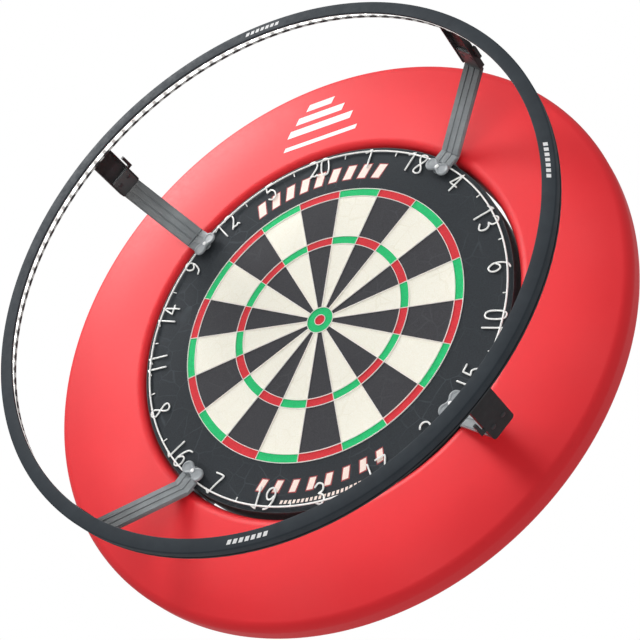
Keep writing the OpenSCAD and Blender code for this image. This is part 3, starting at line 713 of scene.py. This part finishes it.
def slanted_bar(width, height, slant, thick, low, lift=lambda x, y: 0.0, across=1, along=1):
    """A thin leaning bar, divided so that it can follow a crowned surface."""
    def ring(z):
        out = []
        for j in range(along + 1):
            for i in range(across + 1):
                y = (j / along - 0.5) * height
                x = (i / across - 0.5) * width + slant * (j / along - 0.5)
                out.append((x, y, z + lift(x, y)))
        return out
    row = across + 1
    count = row * (along + 1)
    points = ring(low + thick) + ring(low)
    faces = []
    for j in range(along):
        for i in range(across):
            a = j * row + i
            faces.append((a, a + 1, a + row + 1, a + row))
            faces.append((count + a + row, count + a + row + 1, count + a + 1, count + a))
    rim = [i for i in range(row)] + [j * row + across for j in range(1, along + 1)]
    rim += [along * row + i for i in reversed(range(across))] + [j * row for j in reversed(range(1, along))]
    for a, b in zip(rim, rim[1:] + rim[:1]):
        faces.append((b, a, count + a, count + b))
    return points, faces


def band_marks():
    """Two arcs of leaning bars on the number band, cream with a coral edge, and one of small dashes."""
    ground, top = Piece(), Piece()
    edge = 2.4 * MM
    bar_step, dash_step = 5.8, 1.35
    for centre, count, radius, height in ((0, 9, 194 * MM, 18 * MM), (180, 8, 196 * MM, 13 * MM)):
        turned = centre == 180
        width, slant = height * 0.55, height * 0.3
        for k in range(count):
            angle = centre + (k - (count - 1) / 2) * bar_step
            place = face_frame(angle, 0, radius) @ Matrix.Rotation(math.pi * turned, 4, "Z")
            ground.add(slanted_bar(width + edge, height + edge, slant, 0.1 * MM, 0.02 * MM), place)
            top.add(slanted_bar(width, height, slant, 0.1 * MM, 0.12 * MM), place)
    for k in range(-9, 10):
        place = face_frame(180 + k * dash_step, 0, 213.5 * MM)
        top.add(slanted_bar(3.0 * MM, 4.0 * MM, 1.2 * MM, 0.1 * MM, 0.02 * MM), place)
    ground.build("band_bars_edge", INK_CORAL, slot="sisal")
    top.build("band_bars", INK_CREAM, slot="sisal")


def crown_height(radius):
    """Height of the surround's front at a radius, between its bore and its rim rounding."""
    if radius <= CROWN_R:
        return SURROUND_FRONT
    share = (radius - CROWN_R) / (SURROUND_R - RIM_ROUND[0] - CROWN_R)
    return SURROUND_FRONT - RIM_DROP * min(share, 1.0) ** 2


def surround_marks():
    """A plain white emblem above the 20: four stacked leaning bars, the lowest one thin."""
    made = Piece()
    # Distance from the board's axis, width and height of each bar, in millimetres
    rows = [(312, 34, 10), (295, 62, 10), (278, 84, 10), (257, 96, 6)]
    for radius, width, height in rows:
        centre = radius * MM

        def lift(x, y, centre=centre):
            return crown_height(math.hypot(x, centre + y))

        bar = slanted_bar(width * MM, height * MM, height * 0.45 * MM, 0.12 * MM, 0.05 * MM, lift, 16, 4)
        made.add(bar, face_frame(0, 0, centre))
    made.build("surround_bars", INK_WHITE, body="surround", slot="surround_foam")


def light_marks():
    """Short white dashes on the light's front, at its top, bottom and right."""
    made = Piece()
    middle = (LIGHT_HOLE_R + LIGHT_R) / 2
    dash_step = 1.15
    for centre in (0, 180, 270):
        for k in range(-3, 4):
            place = face_frame(centre + k * dash_step, 0, middle, LIGHT_FRONT)
            made.add(slanted_bar(4.2 * MM, 4.6 * MM, 1.6 * MM, 0.08 * MM, 0.01 * MM), place)
    made.build("light_dashes", INK_WHITE, slot="light_shell")


# ---- Surround ----

def surround():
    """The foam ring: crowned front, rolled rim and bore."""
    rim_x = SURROUND_R - RIM_ROUND[0]
    rim_z = SURROUND_FRONT - RIM_DROP - RIM_ROUND[1]
    profile = arc(SURROUND_R - BACK_ROUND, SURROUND_BACK + BACK_ROUND, BACK_ROUND, BACK_ROUND, -90, 0, 8)
    profile += arc(rim_x, rim_z, *RIM_ROUND, 0, 84, 12)
    steps = 12
    for i in range(steps, -1, -1):
        r = CROWN_R + (rim_x - CROWN_R) * i / steps * 0.97
        profile.append((r, crown_height(r)))
    profile += arc(BORE_R + BORE_ROUND, SURROUND_FRONT - BORE_ROUND, BORE_ROUND, BORE_ROUND, 90, 180, 12)
    profile += [(BORE_R, SURROUND_BACK + 2 * MM), (BORE_R + 2 * MM, SURROUND_BACK)]
    obj = Piece().add(lathe(profile, 288)).build(
        "surround_ring", FOAM, body="surround", slot="surround_foam", replaces=["surround"], sharp=50)


# ---- Ring light ----

def light_housing():
    """The light's front shell, with its rounded edges, parting groove and the hole for its inlet."""
    front, out, hole = LIGHT_FRONT, LIGHT_R, LIGHT_HOLE_R
    inner = out - SHELL_T
    groove = out - 1 * MM
    corners = [(hole, front), (out, front), (out, LIGHT_LOW + GROOVE_W), (groove, LIGHT_LOW + GROOVE_W),
               (groove, LIGHT_LOW), (inner, LIGHT_LOW), (inner, front - SHELL_T),
               (hole + 1.6 * MM, front - SHELL_T), (hole + 1.6 * MM, front - SHELL_T - 1.5 * MM),
               (hole, front - SHELL_T - 1.5 * MM)]
    radii = [0.7, 1.6, 0.5, 0.1, 0.2, 0.2, 0.6, 0.2, 0.2, 0.3]
    profile = rounded(corners, [r * MM for r in radii])
    obj = Piece().add(lathe(profile, 288)).build(
        "light_front_shell", SHELL, slot="light_shell", replaces=["ring_housing"], sharp=40)
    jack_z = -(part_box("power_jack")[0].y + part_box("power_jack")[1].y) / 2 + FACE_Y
    drill = lathe([(4.1 * MM, -6 * MM), (4.1 * MM, 6 * MM)], 48, closed=False)
    place = face_frame(JACK_ANGLE, out, 0, jack_z) @ Matrix.Rotation(math.pi / 2, 4, "Y")
    cut(obj, drill, place)
    settle(obj, 40)


def led_package():
    """One diode: a bevelled white case with a domed round window, facing +Z."""
    half, high = 2.5 * MM, 1.0 * MM
    square = [(-half, -half), (half, -half), (half, half), (-half, half)]
    def level(inset, z, radius):
        k = 1 - inset / half
        outline = rounded([(x * k, y * k) for x, y in square], [radius] * 4, 3)
        return [(x, y, z) for x, y in outline]
    heights = ((0, 0), (0, high - 0.15 * MM), (0.15 * MM, high))
    body = loft([level(inset, z, 0.3 * MM) for inset, z in heights])
    window = lathe([(2.0 * MM, high - 0.1 * MM)] + [
        (2.0 * MM * math.cos(a), high + 0.35 * MM * math.sin(a)) for a in (0.0, 0.4, 0.8, 1.2)
    ], 20, closed=False)
    return body, window


def small_block(half_x, half_y, high, radius):
    """A flat block standing on z = 0, with rounded upright edges."""
    corners = [(-half_x, -half_y), (half_x, -half_y), (half_x, half_y), (-half_x, half_y)]
    outline = rounded(corners, [radius] * 4, 2)
    return loft([[(x, y, z) for x, y in outline] for z in (0.0, high)])


def led_strip():
    """The diodes round the light, and a resistor with its solder pads between every two."""
    diodes, trim = Piece(), Piece()
    body, window = led_package()
    chip = small_block(1.0 * MM, 0.6 * MM, 0.45 * MM, 0.1 * MM)
    pad = small_block(0.5 * MM, 0.75 * MM, 0.12 * MM, 0.2 * MM)
    inward = Matrix.Rotation(-math.pi / 2, 4, "Y")
    for i in range(LED_COUNT):
        angle = i * 360 / LED_COUNT
        seat = face_frame(angle, LED_R, 0, LED_Z) @ inward
        diodes.add(body, seat, 0)
        diodes.add(window, seat, 1)
        between = face_frame(angle + 180 / LED_COUNT, LED_R, 0, LED_Z + 0.4 * MM) @ inward
        turned = between @ Matrix.Rotation(math.pi / 2, 4, "Z")
        trim.add(chip, turned, 1)
        for side in (-1, 1):
            trim.add(pad, turned @ Matrix.Translation((side * 1.2 * MM, 0, 0)) @ Matrix.Scale(0.8, 4), 0)
    diodes.build("led_packages", [LED_CASE, LED_LENS], slot="led_lens", replaces=["led_chips"])
    trim.build("strip_resistors", [SOLDER, RESISTOR], slot="strip_board")
    refine("led_strip", STRIP, 0)


def cross_head(radius, height):
    """A pan head with a cross recess, its top towards +Z, as a mesh."""
    profile = [(radius, 0), (radius, height * 0.35), (radius * 0.9, height * 0.72),
               (radius * 0.62, height * 0.95), (radius * 0.25, height)]
    obj = Piece().add(lathe(profile, 40, closed=False), Matrix.Identity(4)).build("head", ZINC)
    arm = radius * 0.62
    slot_w = radius * 0.13
    plus = [(slot_w, slot_w), (slot_w, arm), (-slot_w, arm), (-slot_w, slot_w), (-arm, slot_w),
            (-arm, -slot_w), (-slot_w, -slot_w), (-slot_w, -arm), (slot_w, -arm), (slot_w, -slot_w),
            (arm, -slot_w), (arm, slot_w)]
    levels = [(0.35, height * 0.35), (1.0, height * 1.2)]
    tool = loft([[(x * k, y * k, z) for x, y in plus] for k, z in levels])
    bpy.context.view_layer.update()
    cut(obj, tool, Matrix.Identity(4))
    mesh = obj.data
    shape = ([tuple(v.co) for v in mesh.vertices], [list(p.vertices) for p in mesh.polygons])
    bpy.data.objects.remove(obj)
    return shape


def cover_screws():
    """The screws of the light's rear cover, with their cross recesses."""
    made = Piece()
    head_h = 1.2 * MM
    head = cross_head(2.4 * MM, head_h)
    shank = lathe([(1.2 * MM, -8.4 * MM), (1.2 * MM, 0.1 * MM)], 20, closed=False)
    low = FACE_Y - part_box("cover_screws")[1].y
    for i in range(COVER_SCREWS):
        angle = (i + 0.5) * 360 / COVER_SCREWS
        seat = face_frame(angle, COVER_SCREW_SEAT_R, 0, low + head_h) @ Matrix.Rotation(math.pi, 4, "X")
        made.add(head, seat).add(shank, seat)
    made.build("cover_screws_detailed", ZINC, slot="zinc_steel", replaces=["cover_screws"], sharp=30)


# ---- Arms and clamps ----

def dome(radius, height):
    """A low domed head standing on z = 0."""
    profile = [(radius, 0.0), (radius, height * 0.15)]
    for a in (0.35, 0.75, 1.15, 1.45):
        profile.append((radius * math.cos(a), height * (0.15 + 0.85 * math.sin(a))))
    return lathe(profile, 32, closed=False)


def rivets():
    """Two rivets where each strap meets its bracket, and one in each jaw."""
    heads, jaws = Piece(), Piece()
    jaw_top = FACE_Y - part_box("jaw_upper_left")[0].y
    head = dome(2.8 * MM, 0.8 * MM)
    shank = lathe([(1.5 * MM, -5.7 * MM), (1.5 * MM, 0.05 * MM)], 20, closed=False)
    jaw_shank = lathe([(1.2 * MM, -3.5 * MM), (1.2 * MM, 0)], 20, closed=False)
    inward, outward = (Matrix.Rotation(sign * math.pi / 2, 4, "Y") for sign in (-1, 1))
    for angle in ARMS.values():
        for side in (-1, 1):
            inner = face_frame(angle, RIVET_IN_R, side * ELBOW_RIVET_Y, ELBOW_RIVET_Z) @ inward
            outer = face_frame(angle, RIVET_OUT_R, side * ELBOW_RIVET_Y, ELBOW_RIVET_Z) @ outward
            heads.add(head, inner).add(head, outer).add(shank, outer)
        seat = face_frame(angle, JAW_RIVET_R, 0, jaw_top - 0.05 * MM)
        jaws.add(dome(2.0 * MM, 0.15 * MM), seat).add(jaw_shank, seat)
    heads.build("arm_rivet_heads", RIVET, slot="rivet_steel", replaces=["arm_rivets"])
    jaws.build("jaw_rivet_heads", STRAP, slot="rivet_steel", replaces=["jaw_rivets"])


def peanut(inset):
    """A knob's outline: two lobes joined by fillets, drawn inset by a distance."""
    lobe_r = KNOB_W / 2
    lobe_y = (KNOB_L - KNOB_W) / 2
    fillet = 6 * MM
    centre_x = math.sqrt((lobe_r + fillet) ** 2 - lobe_y ** 2)
    tilt = math.degrees(math.atan2(lobe_y, centre_x))
    r, f = lobe_r - inset, fillet + inset
    out = arc(0, lobe_y, r, r, -tilt, 180 + tilt, 26)
    out += arc(-centre_x, 0, f, f, tilt, -tilt, 6)[1:-1]
    out += arc(0, -lobe_y, r, r, 180 - tilt, 360 + tilt, 26)
    out += arc(centre_x, 0, f, f, 180 + tilt, 180 - tilt, 6)[1:-1]
    return out


def clamp(arm, angle):
    """The knob, its cap and its threaded screw."""
    high = (KNOB_HIGH - KNOB_LOW) / MM
    # Inset of the outline and height, in millimetres, from the foot over the rim to the sunk middle
    levels = [(1.0, 0.0), (0.3, 0.15), (0.0, 0.7), (0.0, high - 1.1), (0.25, high - 0.45),
              (0.8, high - 0.08), (1.5, high), (2.1, high - 0.12), (2.7, high - 0.55),
              (3.3, high - 0.75), (4.2, high - 0.8)]
    loops = [[(x, y, z * MM) for x, y in peanut(inset * MM)] for inset, z in levels]
    place = face_frame(angle, CLAMP_R, 0, KNOB_LOW)
    Piece().add(loft(loops), place).build(
        "knob_body_" + arm, KNOB, body="knob_" + arm, slot="knob_plastic", replaces=["knob_" + arm])
    seat = face_frame(angle, CLAMP_R, 0, 0)
    radius, crown = 2.4 * MM, 0.6 * MM
    profile = [(radius, CAP_LOW)] + [
        (radius * math.cos(a), CAP_HIGH - crown + crown * math.sin(a)) for a in (0.0, 0.5, 0.9, 1.3)]
    Piece().add(lathe(profile, 32, closed=False), seat).build(
        "knob_cap_" + arm, CAP, body="knob_" + arm, slot="cap_plastic", replaces=["cap_" + arm])
    crest, root = 2.0 * MM, 1.65 * MM
    thread = []
    z = SCREW_LOW
    while z + THREAD_PITCH < SCREW_HIGH:
        thread += [(root, z), (crest, z + THREAD_PITCH * 0.42), (crest, z + THREAD_PITCH * 0.58)]
        z += THREAD_PITCH
    thread += [(root, z), (root, SCREW_HIGH)]
    Piece().add(lathe(thread, 24, closed=False), seat).build(
        "clamp_thread_" + arm, STEEL, body="knob_" + arm, slot="screw_steel", replaces=["screw_" + arm])


def arms():
    for arm, angle in ARMS.items():
        refine("bracket_" + arm, BRACKET, 0.5 * MM)
        refine("strap_" + arm, STRAP, 0.45 * MM)
        refine("jaw_" + arm, STRAP, 0.3 * MM)
        refine("foot_" + arm, FOOT, 0.3 * MM)
        clamp(arm, angle)


# ---- Stage ----

def aimed(obj, where, at):
    """Places a light or camera so that it looks at a point."""
    obj.location = where
    obj.rotation_mode = "QUATERNION"
    obj.rotation_quaternion = (Vector(at) - Vector(where)).to_track_quat("-Z", "Y")
    bpy.context.scene.collection.objects.link(obj)


def around(azimuth, elevation, distance, centre):
    """A point at a distance from the centre. Azimuth 0 is on the thrower's side and 90 at the right."""
    a, e = math.radians(azimuth), math.radians(elevation)
    back = Vector((math.sin(a) * math.cos(e), -math.cos(a) * math.cos(e), math.sin(e)))
    return Vector(centre) + back * distance


def camera():
    """The photo's view: from below and to the right, and close."""
    bull = (0, FACE_Y, 0)
    azimuth, elevation, distance = 28.33, -33.43, 1.603
    data = bpy.data.cameras.new("camera")
    data.lens = 83.0
    data.sensor_width = 36.0
    data.clip_start = 0.05
    data.clip_end = 50
    obj = bpy.data.objects.new("camera", data)
    aimed(obj, around(azimuth, elevation, distance, bull), bull)
    bpy.context.scene.camera = obj


def lamp(name, power, size, where, at, colour=(1, 1, 1)):
    """A round area light, its power in watts and its size in metres."""
    data = bpy.data.lights.new(name, "AREA")
    data.shape = "DISK"
    data.size = size
    data.energy = power
    data.color = colour
    aimed(bpy.data.objects.new(name, data), where, at)


def stage():
    """Soft studio light from the upper left, a pale floor well below, and a white surrounding."""
    bull = (0, FACE_Y, 0)
    lamp("key", 44, 0.9, around(-52, 48, 2.4, bull), bull)
    lamp("fill", 1.5, 1.6, around(60, -10, 2.6, bull), bull)
    glows = 12
    for i in range(glows):
        angle = (i + 0.5) * 360 / glows
        seat = face_frame(angle) @ Vector((LIGHT_HOLE_R - 6 * MM, 0, LED_Z - 10 * MM))
        lit_spot = face_frame(angle) @ Vector((0.16, 0, 0))
        lamp(f"ring_glow_{i}", 0.03, 0.03, seat, lit_spot, (1.0, 0.97, 0.93))
    world = bpy.data.worlds.new("studio")
    bpy.context.scene.world = world
    world.use_nodes = True
    nodes, links = world.node_tree.nodes, world.node_tree.links
    shown = nodes["Background"]
    shown.inputs["Color"].default_value = (1, 1, 1, 1)
    shown.inputs["Strength"].default_value = 1.0
    light = nodes.new("ShaderNodeBackground")
    light.inputs["Color"].default_value = (0.98, 0.99, 1.0, 1)
    light.inputs["Strength"].default_value = 0.5
    mix = nodes.new("ShaderNodeMixShader")
    rays = nodes.new("ShaderNodeLightPath")
    links.new(rays.outputs["Is Camera Ray"], mix.inputs[0])
    links.new(light.outputs[0], mix.inputs[1])
    links.new(shown.outputs[0], mix.inputs[2])
    links.new(mix.outputs[0], nodes["World Output"].inputs["Surface"])
    mesh = bpy.data.meshes.new("floor")
    far, low = 12.0, -2.2
    corners = [(-far, -far, low), (far, -far, low), (far, far, low), (-far, far, low)]
    mesh.from_pydata(corners, [], [(0, 1, 2, 3)])
    floor = bpy.data.objects.new("floor", mesh)
    f = Finish("floor_pale", Roughness=0.9)
    f.colour(f.mix(f.ramp(f.noise(2), 0.3, 0.7), (0.86, 0.86, 0.86, 1), (0.88, 0.88, 0.88, 1)))
    mesh.materials.append(f.material)
    bpy.context.scene.collection.objects.link(floor)
    bpy.context.scene.view_settings.view_transform = "Standard"


# ---- The object ----

camera()
playing_face()
spider()
numerals()
hoop()
band_marks()
surround()
surround_marks()
light_housing()
light_marks()
led_strip()
cover_screws()
rivets()
arms()
refine("ring_rear_cover", SHELL_BACK, 0.3 * MM)
refine("power_jack", JACK, 0.25 * MM)
refine("jack_pin", ZINC, 0.15 * MM)
refine("feed_wires", SLEEVE, 0)
refine("steel_band", BAND_PAINT, 0.2 * MM)
refine("backing_board", CHIPBOARD, 0.4 * MM)
refine("wall_bracket", ZINC, 0.5 * MM)
refine("hanging_screw", STEEL, 0.3 * MM)
refine("rear_pads", RUBBER, 0.8 * MM)
refine("hook_pads", RUBBER, 0.3 * MM)
stage()
